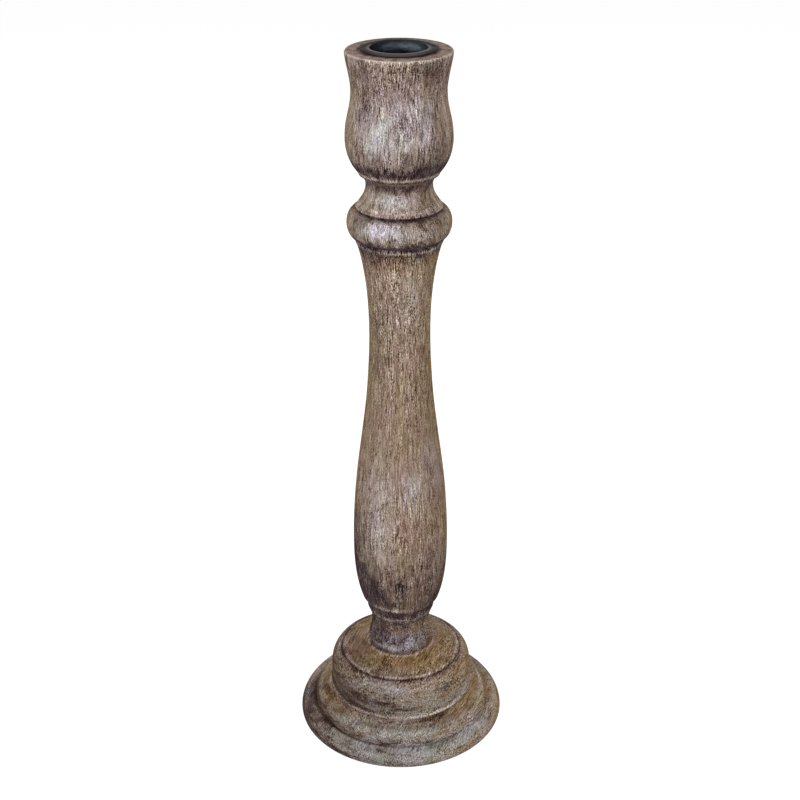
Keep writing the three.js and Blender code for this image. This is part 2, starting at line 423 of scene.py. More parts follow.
def new_group(name, inputs, outputs):
    """Starts a shader node group with named sockets. Gives the group, its inputs and its outputs."""
    group = bpy.data.node_groups.new(name, "ShaderNodeTree")
    for socket, kind in inputs.items():
        group.interface.new_socket(socket, in_out="INPUT", socket_type="NodeSocket" + kind)
    for socket, kind in outputs.items():
        group.interface.new_socket(socket, in_out="OUTPUT", socket_type="NodeSocket" + kind)
    inside = group.nodes.new("NodeGroupInput").outputs
    return group, inside, group.nodes.new("NodeGroupOutput").inputs


# Sizes of the grain's marks in millimetres: twice across the grain, then along it
WANDER_PITCH = (30, 30, 60)
WANDER_REACH = (5, 5, 0)
STREAK_PITCH = (2.0, 2.0, 30)
FLECK_PITCH = (0.2, 0.2, 0.8)
LINE_PITCH = (0.22, 0.22, 5.0)
CORD_PITCH = (0.8, 0.8, 12.0)
CALM_PITCH = (4.0, 4.0, 14.0)

NOISE_MEAN = 0.5
CORD_SHARE = 0.16
SHORT_LINES = 0.2  # where the turned surface cuts the grain short, it has fewer lines
SHORT_FLECKS = 1.4  # and more flecks
CALM_SWING = 0.3  # the grain is weaker and stronger by this in places
FIBRE_SHARE = 0.72  # fibres stand out less than pores
FIBRE_LIFT = 0.008  # and are lifted, so that the wood keeps its mean colour


def grain_group():
    """Grain that runs along Z, in millimetres. Fine is below 0 in its pores and above 0 on its fibres."""
    inputs = {"Along Grain": "Vector", "Line Level": "Float"}
    group, inside, out = new_group("wood grain", inputs, {"Streak": "Float", "Fine": "Float"})
    straight = inside["Along Grain"]
    wander = speckle(group, straight, WANDER_PITCH, detail=1.0).outputs["Color"]
    values = {0: wander, 1: WANDER_REACH, 2: straight}
    wavy = put(group, "ShaderNodeVectorMath", values, operation="MULTIPLY_ADD").outputs[0]
    streak = speckle(group, wavy, STREAK_PITCH, detail=2.0, roughness=0.6).outputs[0]
    flecks = speckle(group, wavy, FLECK_PITCH, detail=0.0, offset=40.0).outputs[0]
    lines = speckle(group, wavy, LINE_PITCH, detail=0.0, offset=80.0).outputs[0]
    cords = speckle(group, wavy, CORD_PITCH, detail=1.0, offset=120.0).outputs[0]
    calm = speckle(group, wavy, CALM_PITCH, detail=1.0, offset=160.0).outputs[0]
    short = stored(group, "short")
    lines = maths(group, "MULTIPLY", maths(group, "SUBTRACT", lines, NOISE_MEAN), inside["Line Level"])
    lines = maths(group, "MULTIPLY", lines, step_up(group, short, 0, 1, 1.0, SHORT_LINES))
    flecks = maths(group, "SUBTRACT", flecks, NOISE_MEAN)
    flecks = maths(group, "MULTIPLY", flecks, step_up(group, short, 0, 1, 1.0, SHORT_FLECKS))
    cords = maths(group, "MULTIPLY", maths(group, "SUBTRACT", cords, NOISE_MEAN), CORD_SHARE)
    fine = maths(group, "ADD", maths(group, "ADD", flecks, lines), cords)
    calmed = step_up(group, calm, 0.35, 0.65, 1 - CALM_SWING, 1 + CALM_SWING)
    fine = maths(group, "MULTIPLY", fine, calmed)
    fine = maths(group, "MINIMUM", fine, maths(group, "MULTIPLY", fine, FIBRE_SHARE))
    fine = maths(group, "ADD", fine, FIBRE_LIFT)
    group.links.new(step_up(group, streak, 0.36, 0.64), out["Streak"])
    group.links.new(fine, out["Fine"])
    return group


EVEN_STEPS = 2.2  # gamma that makes the steps from dark to light look even
MAUVE_TINT = (1.03, 0.985, 1.03, 1)  # the wash dried a little mauve in some places and olive in others
OLIVE_TINT = (0.985, 1.01, 0.95, 1)
HAZE = 0.3  # the thin lime that the rag left between the marks
SMOOTH_GRAIN = 0.25  # how much of the grain shows where the wood is rubbed smooth
FIBRE_ROUGHNESS = 0.32
PORE_ROUGHNESS = 0.6


def limewash_group():
    """Colours the wood under its grain: stains, amber and reddish patches, lime, soil and arrises pale from
    wear, and painted light and shade.
    """
    floats = ("Streak", "Fine", "Smear", "Tint", "Haze Level", "Dirt Level", "Grain Level")
    colours = ("Bare Wood", "Pale Wood", "Amber", "Russet", "Lime And Highlight", "Soil And Shade", "Worn Edge And Highlight")
    inputs = {socket: "Float" for socket in floats} | {socket: "Color" for socket in colours}
    outputs = {"Color": "Color", "Roughness": "Float", "Height": "Float"}
    group, inside, out = new_group("limewash", inputs, outputs)

    def patchy(kind, least, most):
        """A kind of mark that is broken up by the smears of the rag."""
        broken = step_up(group, inside["Smear"], 0.3, 0.7, least, most)
        return maths(group, "MULTIPLY", stored(group, kind), broken)

    wood = mix_colours(group, inside["Streak"], inside["Bare Wood"], inside["Pale Wood"])
    # Amber: patches of yellower wood, and painted amber light down the sides of the column and over the right
    # of the base
    wood = mix_colours(group, patchy("amber_and_warm_light", 0.7, 1.0), wood, inside["Amber"])
    # Reddish brown: reddish wood, and painted shade in the neck under the cup, under the bead and low on the
    # cup
    wood = mix_colours(group, patchy("russet_and_shade", 0.5, 1.0), wood, inside["Russet"])
    hazy = step_up(group, inside["Smear"], 0.35, 0.7, 0.0, HAZE)
    hazy = maths(group, "MULTIPLY", hazy, inside["Haze Level"])
    # Paler: a thin lime haze over the smears, and marked patches of lime and painted highlights of the front
    # lamps
    limed = maths(group, "ADD", patchy("lime_and_highlight", 0.6, 1.1), hazy, clamp=True)
    wood = mix_colours(group, limed, wood, inside["Lime And Highlight"])
    # Darker: smeared dirt and stains, and painted shade in grooves and hollows, under overhangs and over the
    # darker side
    grubby = maths(group, "MULTIPLY", step_up(group, inside["Smear"], 0.5, 0.3), inside["Dirt Level"])
    soil_and_shade = maths(group, "ADD", patchy("stain_and_shade", 1.2, 0.75), grubby, clamp=True)
    wood = mix_colours(group, soil_and_shade, wood, inside["Soil And Shade"])
    # Pale edges: wear on the arrises, and painted highlights along lit arrises and on the base's lip
    raised = step_up(group, inside["Fine"], -0.12, 0.1, 0.25, 1.0)
    pale_patch = maths(group, "MULTIPLY", patchy("worn", 0.4, 1.2), raised)
    wood = mix_colours(group, pale_patch, wood, inside["Worn Edge And Highlight"])

    tint = mix_colours(group, step_up(group, inside["Tint"], 0.35, 0.65), MAUVE_TINT, OLIVE_TINT)
    wood = put(group, "ShaderNodeVectorMath", {0: wood, 1: tint}, operation="MULTIPLY").outputs[0]
    showing = step_up(group, stored(group, "smooth"), 0, 1, 1.0, SMOOTH_GRAIN)
    grained = maths(group, "MULTIPLY", inside["Fine"], showing)
    grained = maths(group, "MULTIPLY", grained, inside["Grain Level"])
    even = put(group, "ShaderNodeGamma", {"Color": wood, "Gamma": 1 / EVEN_STEPS}).outputs[0]
    even = put(group, "ShaderNodeVectorMath", {0: even, 1: grained}, operation="ADD").outputs[0]
    wood = put(group, "ShaderNodeGamma", {"Color": even, "Gamma": EVEN_STEPS}).outputs[0]
    group.links.new(wood, out["Color"])

    rough = step_up(group, inside["Fine"], -0.3, 0.1, PORE_ROUGHNESS, FIBRE_ROUGHNESS)
    group.links.new(rough, out["Roughness"])
    group.links.new(step_up(group, inside["Fine"], -0.3, 0.0), out["Height"])
    return group


def srgb(red, green, blue):
    """A colour as it is seen on a screen, 0 to 255, made linear."""
    def linear(part):
        part /= 255
        return part / 12.92 if part <= 0.04045 else ((part + 0.055) / 1.055) ** 2.4

    return (linear(red), linear(green), linear(blue), 1.0)


def new_material(name):
    material = bpy.data.materials.new(name)
    material.use_nodes = True
    tree = material.node_tree
    return material, tree, tree.nodes["Principled BSDF"]


def in_millimetres(tree, offset=(0, 0, 0)):
    """A piece's own coordinates in millimetres, moved by an offset."""
    here = put(tree, "ShaderNodeTexCoord").outputs["Object"]
    values = {"Vector": here, "Location": offset, "Scale": [1 / MM] * 3}
    return put(tree, "ShaderNodeMapping", values).outputs[0]


def roughen(tree, shader, height, strength, depth):
    """Gives a shader a fine relief, so many millimetres deep."""
    values = {"Strength": strength, "Distance": depth * MM, "Height": height}
    tree.links.new(put(tree, "ShaderNodeBump", values).outputs[0], shader.inputs["Normal"])


grain = grain_group()
limewash = limewash_group()


STANDING_GRAIN = (0, 0, 1)
SKIN_RADIUS = 17.0
WOOD_GLOSS = 0.06
WOOD_RELIEF = 0.12
DULL_FROM = 0.4  # towards its outline the wood loses its gloss
DULL_FULL = 0.8


def follow_skin(tree, here):
    """Draws a column's sides to one radius, so that its grain follows its curves. Flat ends are left."""
    spoke = put(tree, "ShaderNodeVectorMath", {0: here, 1: (1, 1, 0)}, operation="MULTIPLY").outputs[0]
    spoke = put(tree, "ShaderNodeVectorMath", {0: spoke}, operation="NORMALIZE").outputs[0]
    level = put(tree, "ShaderNodeVectorMath", {0: here, 1: (0, 0, 1)}, operation="MULTIPLY").outputs[0]
    values = {0: spoke, 1: [SKIN_RADIUS * MM] * 3, 2: level}
    skin = put(tree, "ShaderNodeVectorMath", values, operation="MULTIPLY_ADD").outputs[0]
    values = {0: stored(tree, "flat"), 4: skin, 5: here}
    return put(tree, "ShaderNodeMix", values, data_type="VECTOR").outputs[1]


def limed_wood(
    name, grain_along, offset, smear_pitch, levels, colours, finer_across, finer_up, line_level=1.0
):
    """Limewashed wood, with light and shade painted into its colour, and its grain along a direction. The
    offset moves it to another part of the tree.

    The marks of the grain are so many times finer across the piece, and so many times finer up it.
    """
    material, tree, shader = new_material(name)
    here = put(tree, "ShaderNodeTexCoord").outputs["Object"]
    surface = follow_skin(tree, here) if grain_along == STANDING_GRAIN else here
    upright = Vector(grain_along).rotation_difference(Vector((0, 0, 1))).to_euler()
    values = {"Vector": surface, "Location": offset, "Rotation": upright}
    values["Scale"] = (finer_across / MM, finer_across / MM, finer_up / MM)
    along = put(tree, "ShaderNodeMapping", values).outputs[0]
    place = in_millimetres(tree, offset)
    marks = put(tree, "ShaderNodeGroup", node_tree=grain)
    tree.links.new(along, marks.inputs["Along Grain"])
    marks.inputs["Line Level"].default_value = line_level
    finish = put(tree, "ShaderNodeGroup", node_tree=limewash)
    for socket in marks.outputs:
        tree.links.new(socket, finish.inputs[socket.name])
    smear = speckle(tree, place, smear_pitch, detail=3.0, roughness=0.6, offset=17.0).outputs[0]
    tree.links.new(smear, finish.inputs["Smear"])
    tint = speckle(tree, place, TINT_PITCH, detail=2.0, offset=53.0).outputs[0]
    tree.links.new(tint, finish.inputs["Tint"])
    for socket, value in (levels | colours).items():
        finish.inputs[socket].default_value = value
    tree.links.new(finish.outputs["Color"], shader.inputs["Base Color"])
    glancing = put(tree, "ShaderNodeLayerWeight", {"Blend": 0.5}).outputs["Facing"]
    dulled = step_up(tree, glancing, DULL_FROM, DULL_FULL)
    dulled = maths(tree, "MAXIMUM", finish.outputs["Roughness"], dulled)
    tree.links.new(dulled, shader.inputs["Roughness"])
    roughen(tree, shader, finish.outputs["Height"], strength=0.3, depth=WOOD_RELIEF)
    shader.inputs["Specular IOR Level"].default_value = WOOD_GLOSS
    return material


BOARD_TURN = math.radians(66)  # the way the grain of the base lies
BOARD_TILT = 0.06
FLAT_GRAIN = (math.cos(BOARD_TURN), math.sin(BOARD_TURN), BOARD_TILT)
DOWN_SMEAR = (3.0, 3.0, 10.0)  # the rag went along the column
STEM_SMEAR = (3.5, 3.5, 6.0)
ROUND_SMEAR = (9.0, 9.0, 1.8)  # and round the base
TINT_PITCH = (11.0, 11.0, 15.0)

# Besides the wood's own colours, amber here also paints yellower light, the reddish brown and soil colours
# paint shade, and the lime and pale edge colours paint highlights
column_colours = {
    "Bare Wood": srgb(128, 105, 89),
    "Pale Wood": srgb(151, 129, 107),
    "Amber": srgb(140, 110, 58),
    "Russet": srgb(118, 80, 64),
    "Lime And Highlight": srgb(203, 201, 209),
    "Soil And Shade": srgb(50, 30, 31),
    "Worn Edge And Highlight": srgb(222, 202, 194),
}
base_colours = column_colours | {
    "Bare Wood": srgb(91, 75, 63),
    "Pale Wood": srgb(137, 119, 101),
    "Amber": srgb(152, 117, 62),
    "Lime And Highlight": srgb(153, 152, 151),
    "Soil And Shade": srgb(56, 34, 27),
}
column_levels = {"Haze Level": 0.55, "Dirt Level": 0.35, "Grain Level": 1.1}
stem_levels = {"Haze Level": 0.2, "Dirt Level": 0.2, "Grain Level": 1.4}
tier_levels = {"Haze Level": 1.0, "Dirt Level": 0.43, "Grain Level": 0.86}
plinth_levels = {"Haze Level": 0.95, "Dirt Level": 0.46, "Grain Level": 0.69}

cup_wood = limed_wood(
    "cup limed wood", STANDING_GRAIN, (0, 0, 0), DOWN_SMEAR, column_levels, column_colours,
    finer_across=1.2, finer_up=1.3,
)
collar_wood = limed_wood(
    "collar limed wood", STANDING_GRAIN, (50, 20, 0), DOWN_SMEAR, column_levels, column_colours,
    finer_across=1.2, finer_up=2.5,
)
stem_wood = limed_wood(
    "stem limed wood", STANDING_GRAIN, (90, 70, 0), STEM_SMEAR, stem_levels, column_colours,
    finer_across=1.25, finer_up=1.0,
)
tier_wood = limed_wood(
    "upper tier limed wood", FLAT_GRAIN, (0, 0, 10), ROUND_SMEAR, tier_levels, base_colours,
    finer_across=0.9, finer_up=0.33, line_level=0.9,
)
plinth_wood = limed_wood(
    "lower tier limed wood", FLAT_GRAIN, (30, 60, 0), ROUND_SMEAR, plinth_levels, base_colours,
    finer_across=0.9, finer_up=0.45, line_level=0.9,
)


# The lower tier: plinth, groove, torus and hollow, with the screw's counterbore underneath

plinth_top_radius = PLINTH_RADIUS - PLINTH_WIDTH
torus_radius = plinth_top_radius - LEDGE_WIDTH
torus_top_radius = torus_radius - TORUS_WIDTH
hollow_top_radius = torus_top_radius - HOLLOW_WIDTH
torus_top = PLINTH_HEIGHT + TORUS_HEIGHT
groove_floor = PLINTH_HEIGHT - BASE_GROOVE_DEPTH

outline = outline_from(SCREW_HOLE_RADIUS, WASHER_TOP)
line_to(outline, COUNTERBORE_RADIUS, WASHER_TOP)
line_to(outline, COUNTERBORE_RADIUS, 0)
face_to(outline, PLINTH_RADIUS - PLINTH_EDGE_ROUND, 0)
bow_to(outline, PLINTH_RADIUS, 0, PLINTH_RADIUS, PLINTH_EDGE_ROUND)
crown_to(outline, plinth_top_radius, PLINTH_HEIGHT)
line_to(outline, torus_radius, groove_floor)
line_to(outline, torus_radius, PLINTH_HEIGHT)
crown_to(outline, torus_top_radius, torus_top)
bow_to(outline, hollow_top_radius, torus_top, hollow_top_radius, TIER_JOINT)
line_to(outline, SCREW_HOLE_RADIUS, TIER_JOINT)
lower_tier_finish = {
    # Pale arris of the plinth, strongest at the front: wear with a painted highlight; the pale patches on the
    # right are painted light
    "worn": [
        ring(plinth_top_radius + 0.6, PLINTH_HEIGHT, 0.5, 0.3, 0, 0.6),
        cloud(48, 44, PLINTH_HEIGHT - 1.6, 18, 4, 0.15),
        cloud(58, 39.4, PLINTH_HEIGHT + 2.6, 9, 3, 0.2),
    ],
    # Dark in the groove, in the hollow, under the torus, along the plinth's foot and over the left side:
    # painted shade, with some stains
    "stain_and_shade": [
        ring(torus_radius, groove_floor, 0.7, 0.65, -60, 1.0),
        ring(hollow_top_radius, TIER_JOINT, 3.0, 0.36, -30, 0.6),
        ring(torus_radius - 0.5, PLINTH_HEIGHT + 1.4, 2.2, 0.65, -90, 1.0),
        ring(plinth_top_radius + 2, PLINTH_HEIGHT - 0.6, 2.2, 0.25, -30, 0.6),
        ring(PLINTH_RADIUS, 0.8, 2.6, 0.5, -90, 1.0),
        cloud(-86, 44, PLINTH_HEIGHT - 2.6, 18, 12, 0.8, repeated=False),
        cloud(-62, 46.5, 0.8, 20, 2.2, 0.9, repeated=False),
        cloud(-15, 46, 2, 16, 3, 0.3),
        cloud(-54, 45.3, PLINTH_HEIGHT - 2.0, 10, 3, 0.3, repeated=False),
        cloud(30, 34, torus_top + 0.9, 8, 2.0, 0.4),
    ],
    # Pale on the torus, over the front and right of the plinth and in the groove at the right: painted
    # highlights and light, over lime
    "lime_and_highlight": [
        ring(torus_radius - 2, torus_top - 0.8, 2.0, 0.3, -10, 0.8),
        cloud(-15, 44, PLINTH_HEIGHT - 2.6, 34, 5, 0.68),
        cloud(56, 44, PLINTH_HEIGHT - 2.6, 20, 5, 0.4),
        cloud(34, torus_radius + 0.5, groove_floor + 0.4, 18, 1.3, 1.2, repeated=False),
        cloud(58, 39.4, PLINTH_HEIGHT + 2.6, 10, 3, 0.25),
        cloud(0, 36, torus_top + 0.4, 24, 4, 0.2),
    ],
    # Amber over the right and at the far left edge: painted amber light
    "amber_and_warm_light": [
        cloud(72, 40, PLINTH_HEIGHT + 1.4, 30, 20, 1.2),
        cloud(35, 43, PLINTH_HEIGHT - 0.6, 14, 5, 0.3),
        cloud(-85, 36, torus_top - 0.1, 12, 4, 0.7, repeated=False),
    ],
    # Reddish in the groove, strongest at the left: painted shade; reddish on the torus is the wood's colour
    "russet_and_shade": [
        ring(torus_radius, groove_floor + 0.5, 1.0, 0.7, -70, 0.8),
        cloud(20, 37, torus_top - 0.1, 14, 3, 0.3),
    ],
    "smooth": [ring(None, 0, 0.5, 0.8), ring(43, PLINTH_HEIGHT - 0.6, 3, 0.35)],
}
lower_tier = turned("lower_tier", outline, BASE_SIDES, PLINTH_ARRIS, lower_tier_finish, closed=True)
fit(lower_tier, "base_lower", "stand", plinth_wood)


# The upper tier: lipped side, rounded shoulder, fine groove and domed top, with the stem's mortise

side_radius = LIP_RADIUS - SIDE_HOLLOW
side_top = TIER_JOINT + LIP_HEIGHT + SIDE_HEIGHT
shoulder_radius = side_radius - SHOULDER_WIDTH
shoulder_top = side_top + SHOULDER_HEIGHT
disc_radius = shoulder_radius - DISC_GROOVE_WIDTH
seat_radius = FOOT_RADIUS + SEAT_MARGIN
mortise_radius = FOOT_TENON_RADIUS + FIT_GAP
groove_radius = (shoulder_radius + disc_radius) / 2

outline = outline_from(SCREW_HOLE_RADIUS, TIER_JOINT)
line_to(outline, LIP_RADIUS - LIP_CHAMFER, TIER_JOINT)
line_to(outline, LIP_RADIUS, TIER_JOINT + LIP_CHAMFER)
line_to(outline, LIP_RADIUS, TIER_JOINT + LIP_HEIGHT)
sweep_to(outline, side_radius, side_top, 0.1, 0.6)
bow_to(outline, side_radius + SHOULDER_SWELL, shoulder_top - SHOULDER_FALL, shoulder_radius, shoulder_top)
line_to(outline, groove_radius, shoulder_top - DISC_GROOVE_DEPTH)
line_to(outline, disc_radius, shoulder_top)
dome_bend_level = (shoulder_top + STEM_SEAT) / 2 + DOME_SWELL
bow_to(outline, (disc_radius + seat_radius) / 2, dome_bend_level, seat_radius, STEM_SEAT)
face_to(outline, mortise_radius, STEM_SEAT)
line_to(outline, mortise_radius, MORTISE_FLOOR)
line_to(outline, SCREW_HOLE_RADIUS, MORTISE_FLOOR)
upper_tier_finish = {
    # Pale lip, brightest towards the right, and a pale patch on the right side: painted highlights; the pale
    # disc edge and seat ring are wear
    "worn": [
        ring(LIP_RADIUS, TIER_JOINT + 1.0, 0.8, 0.5, 30, 0.7),
        cloud(40, LIP_RADIUS, TIER_JOINT + 1.2, 10, 1.0, 0.9),
        cloud(64, LIP_RADIUS, TIER_JOINT + 1.5, 12, 0.9, 0.7),
        ring(disc_radius - 0.7, shoulder_top + 0.3, 0.4, 0.55, 50, 0.6),
        ring(FOOT_RADIUS + 0.5, STEM_SEAT, 0.6, 0.7),
        cloud(66, 32.3, side_top - 3.0, 7, 4, 0.3),
    ],
    # Dark in the groove, round the foot, in the hollow over the lip and over the left of the side and
    # shoulder: painted shade, with stains
    "stain_and_shade": [
        ring(groove_radius, shoulder_top - DISC_GROOVE_DEPTH, 0.7, 1.3, -20, 1.0),
        ring(21, STEM_SEAT - 2.1, 6, 0.3, 0, 0.9),
        ring(disc_radius - 1.5, shoulder_top + 0.7, 1.6, 0.25, 0, 0.8),
        ring(LIP_RADIUS, TIER_JOINT + 2.8, 2.0, 0.35, -40, 0.95),
        cloud(-82, 32, side_top + 4.0, 20, 7, 0.8, repeated=False),
        cloud(-60, 32.5, TIER_JOINT + 3.3, 20, 3.5, 0.8, repeated=False),
        cloud(-38, 32, side_top + 1.0, 10, 3.0, 0.7),
        cloud(-14, 32, side_top - 0.4, 9, 1.8, 0.75),
        cloud(2, 32, side_top - 2.0, 8, 1.6, 0.35),
        cloud(40, 32, side_top + 4.3, 4, 1.5, 1.0),
        cloud(-62, 16.5, STEM_SEAT - 0.6, 7, 3, 0.25),
    ],
    # Pale over the shoulder, the front and right of the side and the lip: painted highlights, over lime
    "lime_and_highlight": [
        cloud(-18, 30.5, shoulder_top - 2.4, 13, 3, 0.5),
        cloud(35, 31, shoulder_top - 4.2, 13, 4, 0.35),
        cloud(0, 32.5, side_top - 3.0, 24, 5, 0.38),
        cloud(54, 32.7, side_top - 3.8, 12, 4.0, 0.55),
        cloud(38, LIP_RADIUS, TIER_JOINT + 0.9, 13, 1.0, 0.7),
    ],
    # Amber on the dome is the wood's colour; amber over the right is painted amber light
    "amber_and_warm_light": [
        cloud(0, 0, STEM_SEAT, 27, 4.0, 1.35),
        cloud(65, 24, shoulder_top - 0.2, 22, 10, 1.0),
        cloud(70, 32, side_top - 3.0, 22, 9, 1.0),
    ],
    "russet_and_shade": [
        cloud(-70, 20, STEM_SEAT - 1.1, 9, 3, 0.6, repeated=False),
        cloud(69, 29, shoulder_top - 1.2, 8, 4, 0.5),
        ring(shoulder_radius + 0.4, shoulder_top - 0.4, 1.3, 1.2),
    ],
    "smooth": [
        cloud(-72, 21, STEM_SEAT - 1.6, 10, 4, 0.6, repeated=False),
        ring(LIP_RADIUS, side_top - 3.0, 4.5, 0.45),
        ring(31, shoulder_top - 4.2, 4, 0.25),
    ],
}
upper_tier = turned("upper_tier", outline, BASE_SIDES, WOOD_ARRIS, upper_tier_finish, closed=True)
fit(upper_tier, "base_upper", "stand", tier_wood)


# The stem: rounded foot, ankle, bulb, long taper and flared top, with a tenon at each end

cove_top = ANKLE_COVE + ANKLE_COVE_HALF
cove_bottom = ANKLE_COVE - ANKLE_COVE_HALF

outline = outline_from(0, SCREW_TIP + FIT_GAP)
line_to(outline, SCREW_HOLE_RADIUS, SCREW_TIP - SCREW_POINT)
line_to(outline, SCREW_HOLE_RADIUS, FOOT_TENON_END)
line_to(outline, FOOT_TENON_RADIUS, FOOT_TENON_END)
line_to(outline, FOOT_TENON_RADIUS, STEM_SEAT)
line_to(outline, FOOT_RADIUS - FOOT_UNDERCUT, STEM_SEAT)
sweep_to(outline, FOOT_RADIUS, FOOT_BULGE, 0.1, 0.6)
sweep_to(outline, ANKLE_RADIUS, ANKLE, 0.35, 0.5)
sweep_to(outline, BULB_RADIUS, BULB, 0.21, 0.72, step=FINE_STEP)
cut_cove(outline, ANKLE_COVE, ANKLE_COVE_HALF, ANKLE_COVE_DEPTH, SCREW_HOLE_RADIUS)
sweep_to(outline, SLENDER_RADIUS, SLENDER_RING, 0.43, 0.43)
sweep_to(outline, STEM_TOP_RADIUS, STEM_TOP_EDGE, 0.5, 0.1, arrive_lean=0.53)
face_to(outline, STEM_TOP_RADIUS - STEM_TOP_SLOPE, COLLAR_SEAT)
line_to(outline, NECK_TENON_RADIUS, COLLAR_SEAT)
line_to(outline, NECK_TENON_RADIUS, NECK_TENON_TOP)
line_to(outline, 0, NECK_TENON_TOP)
stem_finish = {
    # Pale at the top arris, brightest at the front, and round the ankle cove: wear with painted highlights
    "worn": [
        ring(STEM_TOP_RADIUS, STEM_TOP_EDGE - 0.3, 0.4, 0.45, 10, 0.8),
        cloud(-12, 15.3, cove_top + 0.5, 9, 1.3, 0.45),
        ring(None, cove_bottom - 0.7, 0.8, 0.35, 10, 0.9),
    ],
    # Dark under the bead, down the left side, low on the bulb, in and about the ankle cove and at the foot:
    # painted shade, with stains and streaks
    "stain_and_shade": [
        ring(None, COLLAR_SEAT - 0.2, 1.2, 1.8),
        ring(None, STEM_TOP_EDGE - 1.8, 1.3, 0.45),
        cloud(-50, 16, COLLAR_SEAT - 5.4, 10, 5, 0.6),
        cloud(30, 17, COLLAR_SEAT - 4.4, 8, 3, 0.4),
        cloud(-18, 13.2, SLENDER_RING + 6.1, 6, 14, 0.2),
        cloud(-48, 13, SLENDER_RING - 8.9, 7, 22, 0.2),
        cloud(62, 13.5, SLENDER_RING - 22.9, 6, 13, 0.2),
        cloud(-85, 13, SLENDER_RING - 14.9, 6, 60, 0.25, repeated=False),
        cloud(-84, 20.5, BULB + 2.1, 13, 20, 0.9, repeated=False),
        cloud(-50, 20.5, BULB - 11.9, 9, 9, 0.4, repeated=False),
        cloud(82, 20.5, BULB - 9.9, 8, 12, 0.5, repeated=False),
        cloud(26, 20.8, BULB - 2.9, 11, 10, 0.4),
        ring(None, BULB - 9.9, 5, 0.15),
        ring(None, ANKLE_COVE + 8.7, 8, 0.38),
        cloud(-50, 17.5, ANKLE_COVE + 5.7, 12, 14, 1.0, repeated=False),
        cloud(1, 20, BULB - 11.9, 3, 6, 0.5),
        cloud(52, 17, ANKLE_COVE + 3.7, 9, 8, 0.6),
        ring(None, ANKLE_COVE, 1.4, 0.55),
        ring(None, ANKLE_COVE - 3.3, 3.5, 0.45, -40, 0.7),
        cloud(-44, 14, ANKLE_COVE - 2.9, 8, 2.6, 0.5),
        cloud(-50, 15.5, ANKLE_COVE + 3.3, 7, 2.2, 0.45),
        cloud(-54, 13.3, ANKLE - 0.9, 4, 5, 0.4),
        ring(None, ANKLE + 1.1, 6.0, 0.5, -60, 0.7),
        ring(None, ANKLE - 1.9, 11, 0.12),
        ring(None, FOOT_BULGE + 2.8, 4.5, 0.5, -80, 0.2),
        ring(None, STEM_SEAT + 0.9, 1.2, 0.75, -60, 0.4),
        cloud(-62, FOOT_RADIUS, FOOT_BULGE + 4.3, 6, 6, 0.7, repeated=False),
        cloud(2, FOOT_RADIUS, ANKLE - 4.4, 2.5, 3, 0.3),
        cloud(14, FOOT_RADIUS, FOOT_BULGE + 2.8, 8, 3.2, 0.16),
    ],
    # Pale bands on the bulb and taper, and the patches on the foot: painted highlights, over lime
    "lime_and_highlight": [
        cloud(-28, 19.4, BULB + 22.1, 6, 24, 0.35),
        cloud(16, 19, BULB + 37.1, 5, 9, 0.35),
        cloud(20, 16, SLENDER_RING + 17.1, 6, 14, 0.2),
        cloud(56, 17.5, BULB + 44.1, 6, 12, 0.2),
        cloud(-20, FOOT_RADIUS, FOOT_BULGE + 3.0, 6.5, 3.2, 2.0),
        cloud(24, FOOT_RADIUS, FOOT_BULGE + 3.8, 6, 2.8, 1.2),
    ],
    # Amber down the sides, most on the right: painted amber light; the amber rings at the top and the ankle
    # are the wood's colour
    "amber_and_warm_light": [
        cloud(80, 14, SLENDER_RING - 4.9, 9, 60, 0.85),
        cloud(-85, 14, SLENDER_RING - 4.9, 6, 60, 0.5),
        cloud(75, 20, BULB + 20.1, 9, 25, 0.55),
        cloud(75, 13, ANKLE - 1.9, 9, 12, 1.0),
        cloud(25, 16, COLLAR_SEAT - 18.4, 8, 14, 0.35),
        ring(None, COLLAR_SEAT - 5.4, 5, 0.55),
        ring(None, ANKLE + 0.1, 5, 0.3),
    ],
    # Reddish under the bead: painted shade; the other reddish marks are the wood's colour
    "russet_and_shade": [
        cloud(50, 20, ANKLE_COVE + 13.7, 10, 8, 0.6),
        cloud(-40, 16, COLLAR_SEAT - 5.4, 8, 4, 0.6),
        ring(None, ANKLE_COVE - 0.3, 9, 0.4),
        ring(None, COLLAR_SEAT - 4.9, 2.5, 0.5),
    ],
    "smooth": [
        ring(None, BULB + 45.1, 50, 0.6),
        ring(None, BULB - 5.9, 14, 0.25),
        ring(None, ANKLE_COVE + 7.7, 8, 0.3),
    ],
    "short": [ring(None, ANKLE - 1.9, 14, 1.0)],
}
stem = turned("stem_baluster", outline, SIDES, WOOD_ARRIS, stem_finish)
fit(stem, "stem", "stand", stem_wood)


# The collar: fat bead, fine quirk, flared neck and hollow under the cup, bored for the two tenons

collar_bore_radius = NECK_TENON_RADIUS + FIT_GAP
bead_middle = (COLLAR_SEAT + BEAD_TOP) / 2
quirk_top = BEAD_TOP + QUIRK_HEIGHT

